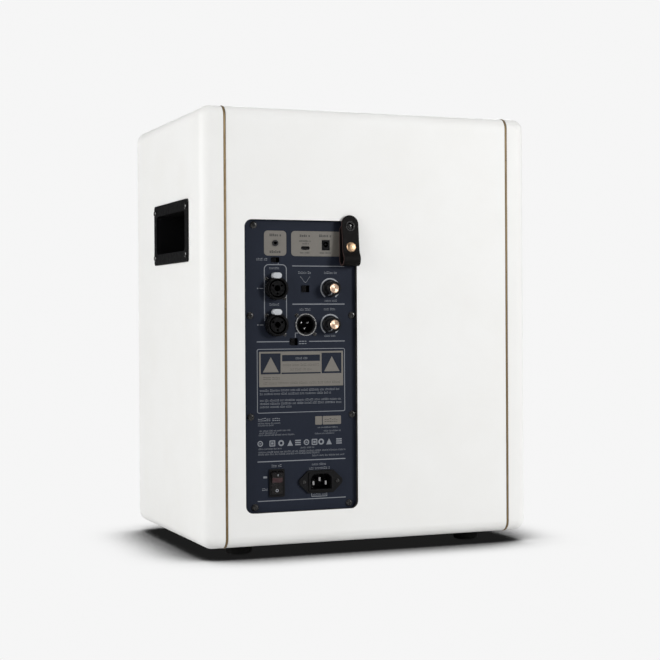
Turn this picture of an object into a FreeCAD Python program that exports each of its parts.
import FreeCAD, Part
import math
import os

# Powered speaker cabinet with a recessed rear control panel.
# +Z is up, the front faces -Y, the control panel faces +Y, and the origin is on the
# floor below the middle of the whole object.  All lengths are in millimetres.

V = FreeCAD.Vector
X_AXIS = V(1, 0, 0)
Y_AXIS = V(0, 1, 0)
Z_AXIS = V(0, 0, 1)

# ---- driving dimensions ----------------------------------------------------
BODY_W = 378.0           # covered cabinet, without feet, handles and knobs
BODY_D = 270.0
BODY_H = 460.0
FOOT_H = 12.0
WALL = 15.0
EDGE_R = 12.0            # rounding of every outer cabinet edge
SEAM_X = 163.8           # where the side cheeks meet the centre section
GROOVE_W = 2.8
GROOVE_DEPTH = 3.4
BEAD_R = 1.2
BEAD_SINK = 0.6          # bead centre below the covered surface

PANEL_W = 126.2          # opening for the control panel in the back wall
PANEL_H = 306.7
PANEL_R = 8.0
PANEL_RECESS = 4.5       # panel face below the back of the cabinet
PANEL_T = 2.5
PANEL_X = 79.8           # middle of the panel
PANEL_Z = FOOT_H + 188.8
PANEL_LEDGE = 10.0       # width of the wooden ledge the panel is screwed to
CLEAR = 0.3              # air between pieces that do not touch

STRAP_W = 19.0
STRAP_T = 2.0
STRAP_LIFT = 0.1         # air under the strap's inner layer
FOLD_R = 6.25            # strap fold radius at mid-thickness
FOLD_HEIGHT = STRAP_LIFT + STRAP_T / 2 + FOLD_R         # fold centre above the panel face
STRAP_REACH = FOLD_HEIGHT + FOLD_R + STRAP_T / 2        # the furthest point out of the back

REAR_PROUD = STRAP_REACH - PANEL_RECESS
FRONT_PROUD = BEAD_R - BEAD_SINK

FRONT_Y = -(BODY_D + REAR_PROUD - FRONT_PROUD) / 2
BACK_Y = FRONT_Y + BODY_D
FACE_Y = BACK_Y - PANEL_RECESS          # outer face of the control panel
BOTTOM_Z = FOOT_H
TOP_Z = FOOT_H + BODY_H
MIDDLE_Y = (FRONT_Y + BACK_Y) / 2
MIDDLE_Z = (BOTTOM_Z + TOP_Z) / 2

# control panel columns and rows
COLUMN_INPUT = 107.5
COLUMN_OUTPUT = 73.7
COLUMN_KNOB = 45.7
ROW_AUX = FOOT_H + 317.8
ROW_MODE = FOOT_H + 300.3
ROW_FIRST = FOOT_H + 270.2
ROW_SECOND = FOOT_H + 232.0
ROW_LIFT = FOOT_H + 214.0
ROW_POWER = FOOT_H + 65.6
LIFT_X = 87.2
DC_X = 50.5
INLET_X = 58.3
USB_Z = ROW_AUX - 4.8

# drivers on the front baffle
BAFFLE_Y = FRONT_Y + 28.0               # front face of the baffle
BAFFLE_T = 18.0
WOOFER_Z = FOOT_H + 158.0
HORN_Z = FOOT_H + 366.0
PORT_X = 126.0
PORT_R = 26.0
PORT_WALL = 2.0
PORT_L = 55.0

# side handles
HANDLE_Y = BACK_Y - 113.7
HANDLE_Z = FOOT_H + 332.8
HANDLE_L = 133.6
HANDLE_H = 66.7
HANDLE_PLATE_T = 1.6
POCKET_L = 113.0
POCKET_H = 43.0
POCKET_DEPTH = 45.0
CUP_WALL = 2.0

FOOT_X = 135.5
FOOT_BACK_Y = BACK_Y - 48.0
FOOT_FRONT_Y = FRONT_Y + 40.0
FOOT_R = 16.0

SCREW_MIDDLE_X = 78.5    # middle of the control panel's screw pattern
SCREW_X = 53.0           # corner screws, from that middle
SCREW_Z = 147.6
SIDE_SCREW_X = 57.3      # side screws, from that middle
SIDE_SCREW_Z = 53.0

# grille
GRILLE_GAP = 1.5
GRILLE_Y = FRONT_Y + 4.0
GRILLE_FRAME_T = 12.0
GRILLE_BAR = 16.0
CLOTH_T = 1.0
PEG_R = 4.0

# woofer
WOOFER_R = 130.0
WOOFER_HOLE_R = 118.0
WOOFER_DEPTH = 78.0
FLANGE_T = 4.0
NECK_R = 26.0
COIL_R = 25.6
COIL_T = 0.8
GLUE_GAP = 0.1           # glue line between the cone's neck and the coil
MAGNET_R = 62.0
MAGNET_T = 20.0
TOP_PLATE_T = 8.0
DRIVER_SCREWS = 8
DRIVER_SCREW_RING = 123.0

# horn
HORN_R = 58.0
HORN_FLANGE = 142.0
HORN_HOLE_R = 61.0
HORN_WALL = 2.2
THROAT_R = 12.7
HORN_DEPTH = 46.0

# screw holes, as radii
PANEL_HOLE_R = 1.9
CONNECTOR_HOLE_R = 1.5
DRIVER_HOLE_R = 2.1
PILOT_HOLE_R = 1.6       # in wood

# control panel pieces
COMBO_R = 12.0
COMBO_REACH = 8.0
JACK_R = 3.3             # hole for a 6.35 mm plug
TAB_L = 10.0
TAB_H = 6.5
TAB_RISE = 13.4          # tab centre above the socket centre
TAB_REACH = 7.2
XLR_RING_R = 11.8
XLR_BORE_R = 9.35
KNOB_R = 9.0
SHAFT_R = 3.0
POT_BORE_R = 3.06
BUSHING_R = 3.9
SLOT_W = 9.0
SLOT_H = 7.4
SLIDER_W = 4.4
SLIDER_TRAVEL = 3.8
ROCKER_W = 12.6
ROCKER_R = 12.5
ROCKER_TILT = 10.0
PIVOT_DEPTH = 1.0        # rocker pivot below the panel face
BEZEL_W = 17.0
BEZEL_H = 29.2
INLET_W = 24.0
INLET_H = 16.5
INLET_DEPTH = 16.0
INLET_SCREW = 18.9
CONNECTOR_SCREW_X = 10.0
CONNECTOR_SCREW_Z = 10.1
KNOB_REACH = 13.4        # knob face above the control panel
CAP_R = 4.9
CAP_SEAT = 11.0          # floor of the knob's recess above the control panel
CONNECTOR_HALF_W = 12.5
CONNECTOR_HALF_H = 12.8
CONTACT_TURNS = (30, 150, 270)     # degrees round a three-pole connector
BOARD_DEPTH = 50.0       # circuit board behind the control panel
TRAY_DEPTH = 58.0
TRAY_T = 1.5
FIN_COUNT = 9
FIN_PITCH = 9.0

# cable strap
FOLD_Z = FOOT_H + 301.2                 # height of the fold's centre
FOLD_BREAK = 2.4                        # half gap between the two layers' solids at the crease
STRAP_X = SCREW_MIDDLE_X - SCREW_X
FLAP_KNEE = (10.0, FOOT_H + 308.4)      # height above the panel face, and z
FLAP_TIP = (5.9, FOOT_H + 348.2)
EYELET_Z = PANEL_Z + SCREW_Z
EYELET_R = 5.3
SNAP_Z = FOOT_H + 314.0


# ---- shape helpers -----------------------------------------------------------
def block(x0, x1, y0, y1, z0, z1):
    return Part.makeBox(x1 - x0, y1 - y0, z1 - z0, V(x0, y0, z0))


def rod(radius, y0, y1, x, z):
    """Round bar along Y."""
    return Part.makeCylinder(radius, y1 - y0, V(x, y0, z), Y_AXIS)


def cross_rod(radius, x0, x1, y, z):
    """Round bar along X."""
    return Part.makeCylinder(radius, x1 - x0, V(x0, y, z), X_AXIS)


def tube(outer, inner, y0, y1, x, z):
    return rod(outer, y0, y1, x, z).cut(rod(inner, y0 - 1, y1 + 1, x, z))


def plate(width, height, radius, y0, y1, x, z):
    """Rounded rectangle in the XZ plane, thick along Y."""
    body = block(x - width / 2, x + width / 2, y0, y1, z - height / 2, z + height / 2)
    corners = [e for e in body.Edges if abs(e.tangentAt(e.FirstParameter).y) > 0.9]
    return body.makeFillet(radius, corners)


def side_plate(length, height, radius, x0, x1, y, z):
    """Rounded rectangle in the YZ plane, thick along X."""
    body = block(x0, x1, y - length / 2, y + length / 2, z - height / 2, z + height / 2)
    corners = [e for e in body.Edges if abs(e.tangentAt(e.FirstParameter).x) > 0.9]
    return body.makeFillet(radius, corners)


def slot(length, height, y0, y1, x, z):
    """Bar along Y with a stadium-shaped section, longest along X."""
    return plate(length, height, height / 2 - 0.001, y0, y1, x, z)


def turned(profile, x, y, z):
    """Solid turned about the Y axis through (x, z); profile points are (radius, offset)."""
    points = [V(x + r, y + offset, z) for r, offset in profile]
    face = Part.Face(Part.makePolygon(points + [points[0]]))
    return face.revolve(V(x, 0, z), Y_AXIS, 360)


def standing(profile, x, y, z):
    """Solid turned about the vertical axis through (x, y); points are (radius, height)."""
    points = [V(x + r, y, z + height) for r, height in profile]
    face = Part.Face(Part.makePolygon(points + [points[0]]))
    return face.revolve(V(x, y, 0), Z_AXIS, 360)


def prism_x(points, x0, x1):
    """Solid along X over a polygon of (y, z) points."""
    corners = [V(x0, y, z) for y, z in points]
    return Part.Face(Part.makePolygon(corners + [corners[0]])).extrude(V(x1 - x0, 0, 0))


def prism_y(points, y0, y1):
    """Solid along Y over a polygon of (x, z) points."""
    corners = [V(x, y0, z) for x, z in points]
    return Part.Face(Part.makePolygon(corners + [corners[0]])).extrude(V(0, y1 - y0, 0))


def cut_all(shape, tools):
    return shape.cut(Part.makeCompound(tools)) if tools else shape


def fuse_all(shapes):
    return shapes[0].multiFuse(shapes[1:]).removeSplitter()


def group(shapes):
    return Part.makeCompound(shapes)


def mirrored(shape):
    return shape.mirror(V(0, 0, 0), X_AXIS)


def face_at(height):
    """Y coordinate at a height above the control panel's face."""
    return FACE_Y + height


# ---- cabinet -----------------------------------------------------------------
def outer_body():
    body = block(-BODY_W / 2, BODY_W / 2, FRONT_Y, BACK_Y, BOTTOM_Z, TOP_Z)
    return body.makeFillet(EDGE_R, body.Edges)


def inside_space():
    half = BODY_W / 2 - WALL
    return block(-half, half, FRONT_Y - 1, BACK_Y - WALL, BOTTOM_Z + WALL, TOP_Z - WALL)


def seam_ring(x, inset, width):
    """Rounded ring between the cabinet's side outline and the same outline inset."""
    x0 = x - width / 2
    x1 = x + width / 2
    reach = 2.0
    outside = side_plate(
        BODY_D + 2 * reach, BODY_H + 2 * reach, EDGE_R + reach, x0, x1, MIDDLE_Y, MIDDLE_Z
    )
    inside = side_plate(
        BODY_D - 2 * inset, BODY_H - 2 * inset, EDGE_R - inset, x0 - 1, x1 + 1, MIDDLE_Y, MIDDLE_Z
    )
    return outside.cut(inside)


def panel_cutout():
    """Shallow rebate for the panel and the smaller hole behind it."""
    rebate = plate(
        PANEL_W, PANEL_H, PANEL_R, FACE_Y - PANEL_T, BACK_Y + 1, PANEL_X, PANEL_Z
    )
    hole = block(
        PANEL_X - PANEL_W / 2 + PANEL_LEDGE, PANEL_X + PANEL_W / 2 - PANEL_LEDGE,
        BACK_Y - WALL - 1, FACE_Y,
        PANEL_Z - PANEL_H / 2 + PANEL_LEDGE, PANEL_Z + PANEL_H / 2 - PANEL_LEDGE,
    )
    return [rebate, hole]


def cabinet_box():
    """Centre section: top, back and bottom, folded round between the cheeks."""
    shell = outer_body().cut(inside_space())
    keep = block(-SEAM_X, SEAM_X, FRONT_Y - 5, BACK_Y + 5, 0, TOP_Z + 5)
    shell = shell.common(keep)
    tools = [seam_ring(side * SEAM_X, GROOVE_DEPTH, GROOVE_W) for side in (-1, 1)]
    tools += panel_cutout()
    tools += [rod(PILOT_HOLE_R, BACK_Y - WALL + 1, FACE_Y, x, z) for x, z in panel_screw_places()]
    tools += [Part.makeCylinder(2.1, 10.2, V(x, y, BOTTOM_Z - 0.1)) for x, y in foot_places()]
    return cut_all(shell, tools)


def cheek_right():
    """Side cheek at +X, with the cut-out for its handle cup."""
    shell = outer_body().cut(inside_space())
    keep = block(SEAM_X, BODY_W / 2 + 5, FRONT_Y - 5, BACK_Y + 5, 0, TOP_Z + 5)
    shell = shell.common(keep)
    cutout = side_plate(
        POCKET_L + 2 * CUP_WALL + 2 * CLEAR, POCKET_H + 2 * CUP_WALL + 2 * CLEAR,
        6, BODY_W / 2 - WALL - 5, BODY_W / 2 + 5, HANDLE_Y, HANDLE_Z,
    )
    tools = [seam_ring(SEAM_X, GROOVE_DEPTH, GROOVE_W), cutout]
    for y, z in handle_screw_places():
        tools.append(cross_rod(PILOT_HOLE_R, BODY_W / 2 - 12, BODY_W / 2 + 1, y, z))
    return cut_all(shell, tools)


def piping_strip(x):
    """Round bead along the seam: up the front rim, over the top, down the back, under."""
    y0 = FRONT_Y + BEAD_SINK
    y1 = BACK_Y - BEAD_SINK
    z0 = BOTTOM_Z + BEAD_SINK
    z1 = TOP_Z - BEAD_SINK
    r = EDGE_R - BEAD_SINK
    d = r * math.sqrt(0.5)
    rim = WALL - 1.0

    def arc(a, b, c):
        return Part.Arc(V(x, *a), V(x, *b), V(x, *c)).toShape()

    def line(a, b):
        return Part.makeLine(V(x, *a), V(x, *b))

    path = Part.Wire([
        line((y0, TOP_Z - rim), (y0, z1 - r)),
        arc((y0, z1 - r), (y0 + r - d, z1 - r + d), (y0 + r, z1)),
        line((y0 + r, z1), (y1 - r, z1)),
        arc((y1 - r, z1), (y1 - r + d, z1 - r + d), (y1, z1 - r)),
        line((y1, z1 - r), (y1, z0 + r)),
        arc((y1, z0 + r), (y1 - r + d, z0 + r - d), (y1 - r, z0)),
        line((y1 - r, z0), (y0 + r, z0)),
        arc((y0 + r, z0), (y0 + r - d, z0 + r - d), (y0, z0 + r)),
        line((y0, z0 + r), (y0, BOTTOM_Z + rim)),
    ])
    section = Part.Wire([Part.makeCircle(BEAD_R, V(x, y0, TOP_Z - rim), Z_AXIS)])
    return path.makePipeShell([section], True, False)


def edge_piping():
    return group([piping_strip(-SEAM_X), piping_strip(SEAM_X)])


def front_baffle():
    half = BODY_W / 2 - WALL
    board = block(
        -half, half, BAFFLE_Y, BAFFLE_Y + BAFFLE_T, BOTTOM_Z + WALL, TOP_Z - WALL
    )
    y0 = BAFFLE_Y - 1
    y1 = BAFFLE_Y + BAFFLE_T + 1
    tools = [rod(WOOFER_HOLE_R, y0, y1, 0, WOOFER_Z), rod(HORN_HOLE_R, y0, y1, 0, HORN_Z)]
    tools += [rod(PORT_R + PORT_WALL + CLEAR, y0, y1, side * PORT_X, HORN_Z) for side in (-1, 1)]
    tools += [rod(PEG_R + CLEAR, y0, BAFFLE_Y + 9, x, z) for x, z in peg_places()]
    tools += [rod(1.9, y0, BAFFLE_Y + 14, x, z) for x, z in driver_screw_places()]
    return cut_all(board, tools)


def damping_pad():
    half = BODY_W / 2 - WALL
    pad = block(
        -half + 12, half - 12, BAFFLE_Y + BAFFLE_T + 12, BACK_Y - WALL - 12,
        BOTTOM_Z + WALL, BOTTOM_Z + WALL + 26,
    )
    return pad.makeFillet(6, [e for e in pad.Edges if e.BoundBox.ZMin > BOTTOM_Z + WALL + 1])


# ---- grille --------------------------------------------------------------------

def peg_places():
    x = BODY_W / 2 - WALL - 12
    z = BODY_H / 2 - WALL - 12
    return [(sx * x, MIDDLE_Z + sz * z) for sx in (-1, 1) for sz in (-1, 1)]


def grille_size():
    return (BODY_W - 2 * WALL - 2 * GRILLE_GAP, BODY_H - 2 * WALL - 2 * GRILLE_GAP)


def grille_frame():
    width, height = grille_size()
    y0 = GRILLE_Y + CLOTH_T
    y1 = y0 + GRILLE_FRAME_T
    frame = plate(width, height, 4, y0, y1, 0, MIDDLE_Z)
    opening = plate(
        width - 2 * GRILLE_BAR, height - 2 * GRILLE_BAR, 8, y0 - 1, y1 + 1, 0, MIDDLE_Z
    )
    bar_z = (WOOFER_Z + HORN_Z) / 2 + 34
    bar = block(-width / 2 + 8, width / 2 - 8, y0 + 4, y1, bar_z - 6, bar_z + 6)
    return fuse_all([frame.cut(opening), bar])


def grille_cloth():
    width, height = grille_size()
    return plate(width, height, 4, GRILLE_Y, GRILLE_Y + CLOTH_T, 0, MIDDLE_Z)


def grille_pegs():
    y0 = GRILLE_Y + CLOTH_T + GRILLE_FRAME_T
    profile = [
        (0, 0), (6, 0), (6, 2), (PEG_R, 3), (PEG_R, BAFFLE_Y + 5 - y0),
        (PEG_R - 1.5, BAFFLE_Y + 8 - y0), (0, BAFFLE_Y + 8 - y0),
    ]
    return group([turned(profile, x, y0, z) for x, z in peg_places()])


# ---- woofer --------------------------------------------------------------------

def woofer_y(depth):
    """Y coordinate at a depth behind the woofer flange's front face."""
    return BAFFLE_Y - FLANGE_T + depth


def woofer_basket():
    rim = tube(WOOFER_R, 112, woofer_y(0), woofer_y(FLANGE_T), 0, WOOFER_Z)
    outside = [(116, 0), (116, 6), (64, WOOFER_DEPTH), (36, WOOFER_DEPTH),
               (36, WOOFER_DEPTH - 3), (61, WOOFER_DEPTH - 3), (112, 5), (112, 0)]
    frame = turned(outside, 0, woofer_y(0), WOOFER_Z)
    windows = []
    for step in range(6):
        window = block(-24, 24, woofer_y(16), woofer_y(62), WOOFER_Z + 50, WOOFER_Z + 130)
        window = window.makeFillet(5, [e for e in window.Edges if e.BoundBox.ZLength > 70])
        window.rotate(V(0, 0, WOOFER_Z), Y_AXIS, 60 * step + 30)
        windows.append(window)
    frame = cut_all(frame, windows)
    basket = fuse_all([rim, frame])
    holes = [
        rod(DRIVER_HOLE_R, woofer_y(-1), woofer_y(FLANGE_T + 1), x, z)
        for x, z in woofer_screw_places()
    ]
    return cut_all(basket, holes)


def woofer_screw_places():
    places = []
    for step in range(DRIVER_SCREWS):
        turn = math.radians(360 / DRIVER_SCREWS * (step + 0.5))
        places.append((
            DRIVER_SCREW_RING * math.cos(turn), WOOFER_Z + DRIVER_SCREW_RING * math.sin(turn)
        ))
    return places


def woofer_magnet():
    start = WOOFER_DEPTH + TOP_PLATE_T
    return tube(MAGNET_R, 34, woofer_y(start), woofer_y(start + MAGNET_T), 0, WOOFER_Z)


def woofer_pole_piece():
    """Steel top plate ring, and the yoke with its pole, as two solids."""
    top = tube(
        MAGNET_R - 4, COIL_R + COIL_T + 0.7,
        woofer_y(WOOFER_DEPTH), woofer_y(WOOFER_DEPTH + TOP_PLATE_T), 0, WOOFER_Z,
    )
    back = WOOFER_DEPTH + TOP_PLATE_T + MAGNET_T
    pole_r = COIL_R - 0.7
    profile = [
        (8, WOOFER_DEPTH), (pole_r, WOOFER_DEPTH), (pole_r, back), (MAGNET_R - 3, back),
        (MAGNET_R - 3, back + 5), (MAGNET_R - 8, back + 9), (8, back + 9),
    ]
    return group([top, turned(profile, 0, woofer_y(0), WOOFER_Z)])


def woofer_cone():
    neck = COIL_R + COIL_T + GLUE_GAP
    profile = [(95.8, 2.0), (98, 2.0), (98, 2.8), (neck, 47), (neck, 45.8)]
    return turned(profile, 0, woofer_y(0), WOOFER_Z)


def woofer_dust_cap():
    """Thin domed cap over the cone's neck."""
    steps = 10
    radius = 34.0
    rise = 13.0
    sphere = (radius ** 2 + rise ** 2) / (2 * rise)
    outer = []
    inner = []
    for step in range(steps + 1):
        r = radius * step / steps
        dome = math.sqrt(sphere ** 2 - r ** 2) - (sphere - rise)
        outer.append((r, 40.0 - dome))
        inner.append((r * 0.985, 41.0 - dome))
    return turned(outer + inner[::-1], 0, woofer_y(0), WOOFER_Z)


def voice_coil():
    return tube(
        COIL_R + COIL_T, COIL_R, woofer_y(44.5), woofer_y(WOOFER_DEPTH + 12), 0, WOOFER_Z
    )


def woofer_surround():
    """Half-round rubber roll between the cone's rim and the basket."""
    roll_r = 107.5
    outer = 9.5
    thick = 1.2
    points = []
    steps = 12
    for step in range(steps + 1):
        turn = math.pi * step / steps
        points.append((roll_r + outer * math.cos(turn), 0.6 - outer * math.sin(turn)))
    for step in range(steps, -1, -1):
        turn = math.pi * step / steps
        inner = outer - thick
        points.append((roll_r + inner * math.cos(turn), 0.6 - inner * math.sin(turn)))
    return turned(points, 0, woofer_y(-1.0), WOOFER_Z)


def woofer_spider():
    """Corrugated ring that centres the voice coil."""
    points = []
    waves = 5
    inner_r = NECK_R + 1.2
    outer_r = 72.0
    steps = waves * 2
    for step in range(steps + 1):
        r = inner_r + (outer_r - inner_r) * step / steps
        points.append((r, 58 + (1.6 if step % 2 else -1.6)))
    lower = [(r, offset + 0.9) for r, offset in points]
    return turned(points + lower[::-1], 0, woofer_y(0), WOOFER_Z)


# ---- horn and ports ------------------------------------------------------------

def horn_flare():
    flange = plate(HORN_FLANGE, HORN_FLANGE, 18, BAFFLE_Y - FLANGE_T, BAFFLE_Y, 0, HORN_Z)
    flange = flange.cut(rod(HORN_R, BAFFLE_Y - 5, BAFFLE_Y + 1, 0, HORN_Z))
    steps = 8
    inner = []
    outer = []
    for step in range(steps + 1):
        part = step / steps
        r = THROAT_R + (HORN_R - THROAT_R) * (1 - math.sin(part * math.pi / 2))
        inner.append((r, HORN_DEPTH * part - FLANGE_T))
        outer.append((r + HORN_WALL, HORN_DEPTH * part - FLANGE_T))
    bell = turned(inner + outer[::-1], 0, BAFFLE_Y, HORN_Z)
    throat = tube(34, THROAT_R, BAFFLE_Y + HORN_DEPTH - 6, BAFFLE_Y + HORN_DEPTH, 0, HORN_Z)
    horn = fuse_all([flange, bell, throat])
    holes = [
        rod(DRIVER_HOLE_R, BAFFLE_Y - 5, BAFFLE_Y + 1, x, z) for x, z in horn_screw_places()
    ]
    return cut_all(horn, holes)


def horn_screw_places():
    inset = HORN_FLANGE / 2 - 9
    return [(sx * inset, HORN_Z + sz * inset) for sx in (-1, 1) for sz in (-1, 1)]


def compression_driver():
    profile = [
        (0, 14), (THROAT_R, 14), (THROAT_R, 0), (34, 0), (34, 8), (46, 12),
        (46, 38), (40, 44), (0, 44),
    ]
    return turned(profile, 0, BAFFLE_Y + HORN_DEPTH, HORN_Z)


def port_tubes():
    profile = [
        (PORT_R + 9, -2.5), (PORT_R + 9, 0), (PORT_R + PORT_WALL, 0), (PORT_R + PORT_WALL, PORT_L),
        (PORT_R, PORT_L), (PORT_R, 5), (PORT_R + 2, 0.5), (PORT_R + 5, -2.5),
    ]
    return group([turned(profile, side * PORT_X, BAFFLE_Y, HORN_Z) for side in (-1, 1)])


def driver_screw_places():
    return woofer_screw_places() + horn_screw_places()


def pan_screw(head_r, head_h, shank_r, length):
    """Pan-head screw, head up along +Y from 0, shank down to -length."""
    profile = [
        (0, -length), (shank_r * 0.5, -length), (shank_r, -length + 2), (shank_r, 0),
        (head_r, 0), (head_r, head_h * 0.45), (head_r * 0.72, head_h * 0.9),
        (head_r * 0.35, head_h), (0, head_h),
    ]
    screw = turned(profile, 0, 0, 0)
    arm = head_r * 0.55
    blade = head_r * 0.11
    for width, height in ((arm, blade), (blade, arm)):
        screw = screw.cut(block(-width, width, head_h * 0.35, head_h * 2, -height, height))
    return screw


def placed(shape, x, y, z, direction=Y_AXIS):
    copy = shape.copy()
    turn = FreeCAD.Rotation(Y_AXIS, direction)
    copy.Placement = FreeCAD.Placement(V(x, y, z), turn)
    return copy


def driver_screws():
    screw = pan_screw(4.2, 2.6, 1.8, 16)
    back = V(0, -1, 0)
    return group([
        placed(screw, x, BAFFLE_Y - FLANGE_T, z, back) for x, z in driver_screw_places()
    ])


# ---- handles and feet ------------------------------------------------------------
def handle_screw_places():
    y = HANDLE_L / 2 - 6
    z = HANDLE_H / 2 - 8
    return [(HANDLE_Y + sy * y, HANDLE_Z + sz * z) for sy in (-1, 1) for sz in (-1, 1)]


def handle_cup_right():
    """Moulded hand grip: a raised plate with a deep rounded pocket."""
    side = BODY_W / 2
    flange = side_plate(
        HANDLE_L, HANDLE_H, 4, side, side + HANDLE_PLATE_T, HANDLE_Y, HANDLE_Z
    )
    cup = side_plate(
        POCKET_L + 2 * CUP_WALL, POCKET_H + 2 * CUP_WALL, 6,
        side - POCKET_DEPTH - CUP_WALL, side + 0.5, HANDLE_Y, HANDLE_Z,
    )
    pocket = side_plate(
        POCKET_L, POCKET_H, 5, side - POCKET_DEPTH, side + 5, HANDLE_Y, HANDLE_Z
    )
    cup = fuse_all([flange, cup]).cut(pocket)
    holes = [cross_rod(1.9, side - 1, side + 5, y, z) for y, z in handle_screw_places()]
    return cut_all(cup, holes)


def handle_screws():
    screw = pan_screw(3.4, 1.8, 1.5, 12)
    x = BODY_W / 2 + HANDLE_PLATE_T
    right = [placed(screw, x, y, z, X_AXIS) for y, z in handle_screw_places()]
    left = [placed(screw, -x, y, z, V(-1, 0, 0)) for y, z in handle_screw_places()]
    return group(right + left)


def foot_places():
    return [(sx * FOOT_X, y) for sx in (-1, 1) for y in (FOOT_BACK_Y, FOOT_FRONT_Y)]


def rubber_feet():
    profile = [
        (2.3, FOOT_H), (2.3, 7), (6.5, 7), (6.5, 2.5), (8.5, 2.5), (8.5, 0),
        (FOOT_R - 4, 0), (FOOT_R - 2.6, 1.2), (FOOT_R, FOOT_H),
    ]
    return group([standing(profile, x, y, 0) for x, y in foot_places()])


def foot_screws():
    """One screw with a pressed washer up through each foot."""
    profile = [
        (0, 3.2), (3.6, 3.2), (3.6, 6), (6, 6), (6, 7), (1.9, 7), (1.9, FOOT_H + 8),
        (0.8, FOOT_H + 10), (0, FOOT_H + 10),
    ]
    return group([standing(profile, x, y, 0) for x, y in foot_places()])


# ---- control panel ---------------------------------------------------------------

def panel_screw_places():
    corners = [(sx * SCREW_X, sz * SCREW_Z) for sx in (-1, 1) for sz in (-1, 1)]
    sides = [(sx * SIDE_SCREW_X, sz * SIDE_SCREW_Z) for sx in (-1, 1) for sz in (-1, 1)]
    return [(SCREW_MIDDLE_X + dx, PANEL_Z + dz) for dx, dz in corners + sides]


def strap_screw_place():
    return (SCREW_MIDDLE_X - SCREW_X, PANEL_Z + SCREW_Z)


def combo_places():
    return [(COLUMN_INPUT, ROW_FIRST), (COLUMN_INPUT, ROW_SECOND)]


def connector_screw_places():
    """Two screws across a diagonal of each round connector, and two at the inlet."""
    places = []
    for x, z in combo_places() + [(COLUMN_OUTPUT, ROW_SECOND)]:
        places.append((x + CONNECTOR_SCREW_X, z + CONNECTOR_SCREW_Z))
        places.append((x - CONNECTOR_SCREW_X, z - CONNECTOR_SCREW_Z))
    return places


def inlet_screw_places():
    return [(INLET_X - INLET_SCREW, ROW_POWER), (INLET_X + INLET_SCREW, ROW_POWER)]


def switch_places():
    """Middle of each slide switch: input mode, contour and ground lift."""
    return [
        (COLUMN_INPUT, ROW_MODE), (COLUMN_OUTPUT + 0.2, ROW_FIRST - 0.3), (LIFT_X, ROW_LIFT)
    ]


def switch_height(index):
    return 5.6 if index == 0 else SLOT_H


def amp_panel():
    sheet = plate(
        PANEL_W - 2 * CLEAR, PANEL_H - 2 * CLEAR, PANEL_R, FACE_Y - PANEL_T, FACE_Y,
        PANEL_X, PANEL_Z,
    )
    y0 = FACE_Y - PANEL_T - 1
    y1 = FACE_Y + 1
    tools = [rod(PANEL_HOLE_R, y0, y1, x, z) for x, z in panel_screw_places()]
    tools += [rod(CONNECTOR_HOLE_R, y0, y1, x, z) for x, z in connector_screw_places()]
    tools += [rod(CONNECTOR_HOLE_R, y0, y1, x, z) for x, z in inlet_screw_places()]
    for x, z in combo_places():
        tools.append(rod(COMBO_R + 0.2, y0, y1, x, z))
        tools.append(slot(TAB_L + 0.8, TAB_H + 0.8, y0, y1, x, z + TAB_RISE))
    tools.append(rod(XLR_RING_R - 1, y0, y1, COLUMN_OUTPUT, ROW_SECOND))
    tools += [rod(BUSHING_R + 0.1, y0, y1, COLUMN_KNOB, z) for z in (ROW_FIRST, ROW_SECOND)]
    for index, (x, z) in enumerate(switch_places()):
        height = switch_height(index)
        tools.append(block(x - SLOT_W / 2, x + SLOT_W / 2, y0, y1, z - height / 2, z + height / 2))
    tools.append(rod(3.1, y0, y1, COLUMN_INPUT, ROW_AUX))
    tools.append(slot(10.2, 4.4, y0, y1, COLUMN_OUTPUT, USB_Z))
    tools.append(block(DC_X - 4.6, DC_X + 4.6, y0, y1, ROW_AUX - 7.1, ROW_AUX + 4.1))
    tools.append(plate(15.4, 27.6, 1, y0, y1, COLUMN_INPUT, ROW_POWER + 0.4))
    tools.append(plate(28.4, 20.6, 2, y0, y1, INLET_X, ROW_POWER))
    return cut_all(sheet, tools)


def panel_screws():
    screw = pan_screw(3.7, 1.9, 1.5, 9)
    shapes = []
    for x, z in panel_screw_places():
        if (x, z) != strap_screw_place():
            shapes.append(placed(screw, x, FACE_Y, z))
    x, z = strap_screw_place()
    shoulder = rod(2.8, face_at(STRAP_T + 0.15), face_at(4.7), x, z)
    tall = placed(pan_screw(3.3, 1.6, 1.5, 13.6), x, face_at(4.6), z)
    shapes.append(fuse_all([tall, shoulder]))
    return group(shapes)


def amp_chassis():
    """Folded steel tray behind the panel, with cooling fins on its inner face."""
    width = PANEL_W - 2 * PANEL_LEDGE - 2 * CLEAR - 1
    height = PANEL_H - 2 * PANEL_LEDGE - 2 * CLEAR - 1
    y1 = FACE_Y - PANEL_T
    y0 = y1 - TRAY_DEPTH
    tray = block(
        PANEL_X - width / 2, PANEL_X + width / 2, y0, y1, PANEL_Z - height / 2, PANEL_Z + height / 2
    )
    hollow = block(
        PANEL_X - width / 2 + TRAY_T, PANEL_X + width / 2 - TRAY_T, y0 + TRAY_T, y1 + 1,
        PANEL_Z - height / 2 + TRAY_T, PANEL_Z + height / 2 - TRAY_T,
    )
    fins = []
    for step in range(FIN_COUNT):
        x = PANEL_X + FIN_PITCH * (step - (FIN_COUNT - 1) / 2)
        fins.append(block(x - 1, x + 1, y0 - 14, y0, PANEL_Z - 70, PANEL_Z + 70))
    return fuse_all([tray.cut(hollow)] + fins)


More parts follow.
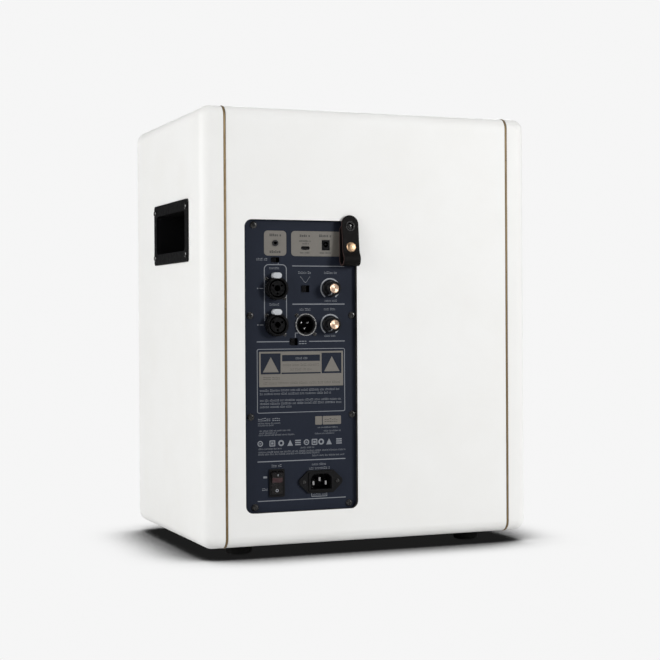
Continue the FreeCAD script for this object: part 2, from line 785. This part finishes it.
def amp_board():
    """Main circuit board with two rows of reservoir capacitors and a shielded coil."""
    y0 = FACE_Y - PANEL_T - BOARD_DEPTH
    board = block(PANEL_X - 48, PANEL_X + 48, y0, y0 + 1.6, PANEL_Z - 30, PANEL_Z + 130)
    cans = [rod(6, y0 + 1.6, y0 + 17, PANEL_X - 36 + 15 * n, PANEL_Z - 16) for n in range(6)]
    coil = block(PANEL_X + 8, PANEL_X + 34, y0 + 1.6, y0 + 14, PANEL_Z + 88, PANEL_Z + 114)
    return fuse_all([board] + cans + [coil])


def power_transformer():
    y1 = FACE_Y - PANEL_T - 24
    return tube(34, 10, y1 - 30, y1, PANEL_X - 2, PANEL_Z - 78)


def combo_jack(z):
    """Combined socket: body behind the panel, round nose in front of it."""
    x = COLUMN_INPUT
    body = block(
        x - CONNECTOR_HALF_W, x + CONNECTOR_HALF_W, face_at(-27), face_at(-PANEL_T),
        z - CONNECTOR_HALF_H, z + CONNECTOR_HALF_H,
    )
    nose = rod(COMBO_R, face_at(-PANEL_T), face_at(COMBO_REACH - 0.8), x, z)
    lip = rod(COMBO_R - 0.9, face_at(COMBO_REACH - 0.8), face_at(COMBO_REACH), x, z)
    shape = fuse_all([body, nose, lip])
    tools = [
        rod(JACK_R, face_at(-24), face_at(COMBO_REACH + 1), x, z),
        tube(9.7, 7.9, face_at(-8), face_at(COMBO_REACH + 1), x, z),
        rod(7.9, face_at(COMBO_REACH - 1.2), face_at(COMBO_REACH + 1), x, z),
        slot(TAB_L + 0.8, TAB_H + 0.8, face_at(-PANEL_T), face_at(COMBO_REACH + 1), x, z + TAB_RISE),
    ]
    for turn in CONTACT_TURNS:
        a = math.radians(turn)
        tools.append(rod(
            1.25, face_at(-14), face_at(COMBO_REACH), x + 5.6 * math.cos(a), z + 5.6 * math.sin(a)
        ))
    for side in (-1, 1):
        tools.append(rod(
            CONNECTOR_HOLE_R, face_at(-14), face_at(0),
            x + side * CONNECTOR_SCREW_X, z + side * CONNECTOR_SCREW_Z,
        ))
    return cut_all(shape, tools)


def combo_latch(z):
    """Oval release tab above a combined socket."""
    tab = slot(TAB_L, TAB_H, face_at(0.5), face_at(TAB_REACH), COLUMN_INPUT, z + TAB_RISE)
    rim = [e for e in tab.Edges if e.BoundBox.YMin > face_at(TAB_REACH) - 0.01]
    return tab.makeFillet(1.0, rim)


def xlr_output():
    x = COLUMN_OUTPUT
    z = ROW_SECOND
    ring = tube(XLR_RING_R, XLR_RING_R - 1.0, face_at(0), face_at(0.9), x, z)
    lip = tube(XLR_RING_R - 0.9, XLR_BORE_R, face_at(0), face_at(0.35), x, z)
    shell = rod(XLR_RING_R - 1.2, face_at(-22), face_at(0), x, z)
    shell = shell.cut(rod(XLR_BORE_R, face_at(-16), face_at(1), x, z))
    ears = block(
        x - CONNECTOR_HALF_W, x + CONNECTOR_HALF_W, face_at(-8), face_at(-PANEL_T),
        z - CONNECTOR_HALF_H, z + CONNECTOR_HALF_H,
    )
    ears = ears.cut(rod(XLR_BORE_R, face_at(-9), face_at(1), x, z))
    key = block(x - 1.4, x + 1.4, face_at(-14), face_at(-1), z - XLR_BORE_R - 0.4, z - XLR_BORE_R + 1.2)
    shape = fuse_all([ring, lip, shell, ears, key])
    holes = []
    for side in (-1, 1):
        holes.append(rod(
            CONNECTOR_HOLE_R, face_at(-14), face_at(0),
            x + side * CONNECTOR_SCREW_X, z + side * CONNECTOR_SCREW_Z,
        ))
    return cut_all(shape, holes)


def contact_pins():
    """Three round pins in the output connector and three flat ones in the inlet."""
    pins = []
    for turn in CONTACT_TURNS:
        a = math.radians(turn)
        x = COLUMN_OUTPUT + 4.1 * math.cos(a)
        z = ROW_SECOND + 4.1 * math.sin(a)
        body = rod(1.2, face_at(-16), face_at(-4.5), x, z)
        pins.append(body.makeFillet(0.8, [e for e in body.Edges if e.BoundBox.YMin > face_at(-4.6)]))
    for dx, dz in ((-7, -2), (7, -2), (0, 2)):
        x = INLET_X + dx
        z = ROW_POWER + dz
        pins.append(block(
            x - 1, x + 1, face_at(1.5 - INLET_DEPTH), face_at(-2.0), z - 2, z + 2
        ))
    return group(pins)


def connector_screws():
    screw = pan_screw(2.1, 1.2, 1.3, 9)
    shapes = [placed(screw, x, FACE_Y, z) for x, z in connector_screw_places()]
    shapes += [placed(screw, x, face_at(2.2), z) for x, z in inlet_screw_places()]
    return group(shapes)


def potentiometer(z):
    x = COLUMN_KNOB
    can = block(x - 8, x + 8, face_at(-13), face_at(-PANEL_T - 0.2), z - 8, z + 8)
    bushing = rod(BUSHING_R, face_at(-PANEL_T - 0.3), face_at(0.3), x, z)
    return fuse_all([can, bushing]).cut(rod(POT_BORE_R, face_at(-12), face_at(1), x, z))


def control_knob(z):
    """Tapered round knob on its shaft, with a recess for the metal cap."""
    shaft_end = -11.5
    profile = [
        (0, shaft_end), (SHAFT_R, shaft_end), (SHAFT_R, 0.8), (KNOB_R, 0.8), (KNOB_R, 2.2),
        (8.4, 2.8), (7.6, 11.6), (7.0, 12.2), (CAP_R, 12.2), (CAP_R, CAP_SEAT), (0, CAP_SEAT),
    ]
    return turned(profile, COLUMN_KNOB, FACE_Y, z)


def knob_cap(z):
    profile = [
        (0, CAP_SEAT), (CAP_R, CAP_SEAT), (CAP_R, KNOB_REACH - 0.6), (CAP_R - 0.6, KNOB_REACH),
        (0, KNOB_REACH),
    ]
    return turned(profile, COLUMN_KNOB, FACE_Y, z)


def slide_switch_bodies():
    shapes = []
    for index, (x, z) in enumerate(switch_places()):
        half = switch_height(index) / 2
        body = block(x - 7.5, x + 7.5, face_at(-9), face_at(-PANEL_T), z - half - 1.5, z + half + 1.5)
        well = block(x - SLOT_W / 2, x + SLOT_W / 2, face_at(-6), face_at(0), z - half, z + half)
        shapes.append(body.cut(well))
    return group(shapes)


def switch_slider(index):
    """Small ribbed thumb block, resting at the +X end of its slot."""
    x, z = switch_places()[index]
    half = switch_height(index) / 2 - 0.35
    x1 = x + SLOT_W / 2 - 0.4
    x0 = x1 - SLIDER_W
    thumb = block(x0, x1, face_at(-5.6), face_at(0.9), z - half, z + half)
    ribs = []
    for step in (0.3, 0.7):
        middle = x0 + SLIDER_W * step
        ribs.append(block(middle - 0.3, middle + 0.3, face_at(0.5), face_at(2), z - half, z + half))
    return cut_all(thumb, ribs)


def mini_jack():
    x = COLUMN_INPUT
    z = ROW_AUX
    body = block(x - 5, x + 5, face_at(-14), face_at(-PANEL_T - 0.1), z - 6, z + 6)
    bush = rod(3.0, face_at(-PANEL_T - 0.2), face_at(0.2), x, z)
    ring = rod(3.3, face_at(0.05), face_at(0.9), x, z)
    return fuse_all([body, bush, ring]).cut(rod(1.8, face_at(-12), face_at(2), x, z))


def usb_c_port():
    x = COLUMN_OUTPUT
    z = USB_Z
    shell = slot(9.4, 3.6, face_at(-8), face_at(-0.2), x, z)
    shell = shell.cut(slot(8.6, 2.8, face_at(-6), face_at(1), x, z))
    tongue = block(x - 3.4, x + 3.4, face_at(-6.1), face_at(-1.2), z - 0.35, z + 0.35)
    return fuse_all([shell, tongue])


def dc_jack():
    x = DC_X
    z = ROW_AUX - 1.5
    body = block(x - 4.3, x + 4.3, face_at(-14), face_at(0.3), z - 5.3, z + 5.3)
    hole = rod(3.0, face_at(-9), face_at(1), x, z + 0.8)
    pin = rod(1.0, face_at(-9.1), face_at(-0.8), x, z + 0.8)
    return fuse_all([body.cut(hole), pin])


def power_switch_bezel():
    x = COLUMN_INPUT
    z = ROW_POWER + 0.4
    rim = plate(BEZEL_W, BEZEL_H, 1.5, face_at(0), face_at(1.6), x, z)
    body = plate(15.0, 27.2, 0.8, face_at(-16), face_at(0.1), x, z)
    well = block(
        x - ROCKER_W / 2 - 0.4, x + ROCKER_W / 2 + 0.4, face_at(-14), face_at(3),
        z - ROCKER_R - 0.3, z + ROCKER_R + 0.3,
    )
    return fuse_all([rim, body]).cut(well)


def power_rocker():
    """Shallow V-faced rocker, resting with its lower end pressed in."""
    x = COLUMN_INPUT
    y = face_at(-PIVOT_DEPTH)
    z = ROW_POWER + 0.4
    drum = cross_rod(ROCKER_R, x - ROCKER_W / 2, x + ROCKER_W / 2, y, z)
    outline = prism_x(
        [(y - 6, z - 14), (y + 5.2, z - 14), (y + 2.4, z), (y + 5.2, z + 14), (y - 6, z + 14)],
        x - ROCKER_W / 2, x + ROCKER_W / 2,
    )
    rocker = drum.common(outline)
    rocker.rotate(V(x, y, z), X_AXIS, -ROCKER_TILT)
    return rocker


def iec_inlet():
    """Mains inlet: eye-shaped flange, shroud with two cut corners, body behind."""
    x = INLET_X
    z = ROW_POWER
    tips = 22.0
    outline = [
        (x - tips, z - 4.6), (x - 14, z - 12), (x + 14, z - 12), (x + tips, z - 4.6),
        (x + tips, z + 4.6), (x + 14, z + 12), (x - 14, z + 12), (x - tips, z + 4.6),
    ]
    flange = prism_y(outline, face_at(0), face_at(2.2))
    ends = [rod(5.0, face_at(0), face_at(2.2), x + side * 19.6, z) for side in (-1, 1)]
    shroud = plate(28, 20.2, 2, face_at(-INLET_DEPTH - 2), face_at(3.2), x, z)
    shape = fuse_all([flange, shroud] + ends)
    half_w = INLET_W / 2
    half_h = INLET_H / 2
    corner = 4.2
    well = prism_y([
        (x - half_w, z - half_h), (x + half_w, z - half_h), (x + half_w, z + half_h - corner),
        (x + half_w - corner, z + half_h), (x - half_w + corner, z + half_h),
        (x - half_w, z + half_h - corner),
    ], face_at(1.5 - INLET_DEPTH), face_at(5))
    holes = [
        rod(CONNECTOR_HOLE_R, face_at(-1), face_at(3), px, pz) for px, pz in inlet_screw_places()
    ]
    return cut_all(shape, [well] + holes)


# ---- cable strap -----------------------------------------------------------------

def strap_profile(points):
    """Solid of the strap's width over (height above panel, z) points."""
    return prism_x([(face_at(p), z) for p, z in points], STRAP_X - STRAP_W / 2, STRAP_X + STRAP_W / 2)


def fold_arc(first, last):
    """Quarter of the strap's fold, between two angles measured from +Y towards +Z."""
    steps = 8
    outer = FOLD_R + STRAP_T / 2
    inner = FOLD_R - STRAP_T / 2
    points = []
    for radius, order in ((outer, range(steps + 1)), (inner, range(steps, -1, -1))):
        for step in order:
            turn = math.radians(first + (last - first) * step / steps)
            points.append((FOLD_HEIGHT + radius * math.cos(turn), FOLD_Z + radius * math.sin(turn)))
    return strap_profile(points)


def break_angle():
    return math.degrees(math.asin(FOLD_BREAK / FOLD_R))


def strap_tongue(z_top, z_bottom):
    """Strap outline seen from the back, with a round upper end."""
    radius = STRAP_W / 2
    centre = z_top - radius
    y0 = face_at(-1)
    y1 = face_at(30)
    strip = block(STRAP_X - radius, STRAP_X + radius, y0, y1, z_bottom, centre)
    return fuse_all([strip, rod(radius, y0, y1, STRAP_X, centre)])


def strap_base():
    """Inner layer of the strap, under the corner screw's spacer, trimmed to fit the rebate."""
    low = STRAP_LIFT
    high = low + STRAP_T
    top = EYELET_Z + 4.4
    sheet = strap_profile([(low, FOLD_Z), (low, top), (high, top), (high, FOLD_Z)])
    shape = fuse_all([sheet, fold_arc(180, 270 - break_angle())])
    shape = shape.common(strap_tongue(top, FOLD_Z - 10))
    rebate_edge = PANEL_X - PANEL_W / 2
    trim = block(rebate_edge - 10, rebate_edge + CLEAR, FACE_Y - 1, face_at(5), FOLD_Z - 10, top + 1)
    return shape.cut(group([trim, rod(PANEL_HOLE_R, FACE_Y - 1, face_at(5), STRAP_X, EYELET_Z)]))


def flap_direction():
    rise = FLAP_TIP[1] - FLAP_KNEE[1]
    lean = FLAP_TIP[0] - FLAP_KNEE[0]
    return V(0, lean, rise).normalize()


def flap_normal():
    along = flap_direction()
    return V(0, along.z, -along.y)


def flap_point(z):
    """Middle of the flap's upper stretch at a height, as a position."""
    share = (z - FLAP_KNEE[1]) / (FLAP_TIP[1] - FLAP_KNEE[1])
    height = FLAP_KNEE[0] + share * (FLAP_TIP[0] - FLAP_KNEE[0])
    return V(STRAP_X, face_at(height), z)


def strap_flap():
    """Outer layer of the strap: half the fold, a short slope and the long flap."""
    half = STRAP_T / 2
    root = FOLD_HEIGHT + FOLD_R
    knee_p, knee_z = FLAP_KNEE
    tip_p, tip_z = FLAP_TIP
    profile = [
        (root + half, FOLD_Z), (knee_p + half, knee_z + 0.3), (tip_p + half, tip_z),
        (tip_p - half, tip_z), (knee_p - half, knee_z - 0.3), (root - half, FOLD_Z),
    ]
    shape = fuse_all([strap_profile(profile), fold_arc(270 + break_angle(), 360)])
    shape = shape.common(strap_tongue(tip_z, FOLD_Z - 10))
    hole = placed(Part.makeCylinder(EYELET_R - 0.7, 10, V(0, -5, 0), Y_AXIS),
                  *flap_point(EYELET_Z), flap_normal())
    post = placed(Part.makeCylinder(1.6, 10, V(0, -5, 0), Y_AXIS),
                  *flap_point(SNAP_Z), flap_normal())
    return shape.cut(group([hole, post]))


def strap_eyelet():
    """Rolled metal eyelet in the flap, round the corner screw's head."""
    bore = 3.9
    profile = [
        (bore, -1.15), (EYELET_R - 0.8, -1.15), (EYELET_R - 0.8, 1.08), (EYELET_R, 1.08),
        (EYELET_R, 1.3), (EYELET_R - 0.6, 1.7), (bore + 0.3, 1.7), (bore, 1.4),
    ]
    return placed(turned(profile, 0, 0, 0), *flap_point(EYELET_Z), flap_normal())


def snap_cap():
    """Domed cap of the press stud, with its post through the flap."""
    profile = [
        (0, -1.6), (3.4, -1.6), (3.4, -1.05), (1.5, -1.05), (1.5, 1.05), (5.3, 1.05), (5.3, 1.5),
        (4.4, 2.4), (2.6, 2.9), (0, 3.1),
    ]
    return placed(turned(profile, 0, 0, 0), *flap_point(SNAP_Z), flap_normal())


def snap_stud():
    """Lower half of the press stud, on the strap's inner layer."""
    profile = [(0, 2.15), (4.0, 2.15), (4.0, 2.8), (1.9, 3.3), (1.9, 6.2), (0, 6.2)]
    return turned(profile, STRAP_X, FACE_Y, SNAP_Z)


# ---- all pieces ------------------------------------------------------------------
def pieces():
    right_cheek = cheek_right()
    right_cup = handle_cup_right()
    return {
        "cabinet_box": cabinet_box(),
        "cheek_right": right_cheek,
        "cheek_left": mirrored(right_cheek),
        "edge_piping": edge_piping(),
        "front_baffle": front_baffle(),
        "damping_pad": damping_pad(),
        "port_tubes": port_tubes(),
        "grille_frame": grille_frame(),
        "grille_cloth": grille_cloth(),
        "grille_pegs": grille_pegs(),
        "woofer_basket": woofer_basket(),
        "woofer_magnet": woofer_magnet(),
        "woofer_pole_piece": woofer_pole_piece(),
        "woofer_cone": woofer_cone(),
        "woofer_dust_cap": woofer_dust_cap(),
        "voice_coil": voice_coil(),
        "woofer_surround": woofer_surround(),
        "woofer_spider": woofer_spider(),
        "horn_flare": horn_flare(),
        "compression_driver": compression_driver(),
        "driver_screws": driver_screws(),
        "handle_cup_right": right_cup,
        "handle_cup_left": mirrored(right_cup),
        "handle_screws": handle_screws(),
        "rubber_feet": rubber_feet(),
        "foot_screws": foot_screws(),
        "amp_panel": amp_panel(),
        "panel_screws": panel_screws(),
        "amp_chassis": amp_chassis(),
        "amp_board": amp_board(),
        "power_transformer": power_transformer(),
        "combo_jack_upper": combo_jack(ROW_FIRST),
        "combo_jack_lower": combo_jack(ROW_SECOND),
        "combo_latch_upper": combo_latch(ROW_FIRST),
        "combo_latch_lower": combo_latch(ROW_SECOND),
        "xlr_output": xlr_output(),
        "contact_pins": contact_pins(),
        "connector_screws": connector_screws(),
        "volume_pot": potentiometer(ROW_FIRST),
        "volume_knob": control_knob(ROW_FIRST),
        "volume_knob_cap": knob_cap(ROW_FIRST),
        "line_pot": potentiometer(ROW_SECOND),
        "line_knob": control_knob(ROW_SECOND),
        "line_knob_cap": knob_cap(ROW_SECOND),
        "slide_switch_bodies": slide_switch_bodies(),
        "mode_slider": switch_slider(0),
        "contour_slider": switch_slider(1),
        "lift_slider": switch_slider(2),
        "mini_jack": mini_jack(),
        "usb_c_port": usb_c_port(),
        "dc_jack": dc_jack(),
        "power_switch_bezel": power_switch_bezel(),
        "power_rocker": power_rocker(),
        "iec_inlet": iec_inlet(),
        "strap_base": strap_base(),
        "strap_flap": strap_flap(),
        "strap_eyelet": strap_eyelet(),
        "snap_cap": snap_cap(),
        "snap_stud": snap_stud(),
    }


os.makedirs("parts", exist_ok=True)
for name, shape in pieces().items():
    shape.exportStep("parts/" + name + ".step")
    print(name, len(shape.Solids), shape.isValid(), round(shape.Volume), shape.BoundBox)
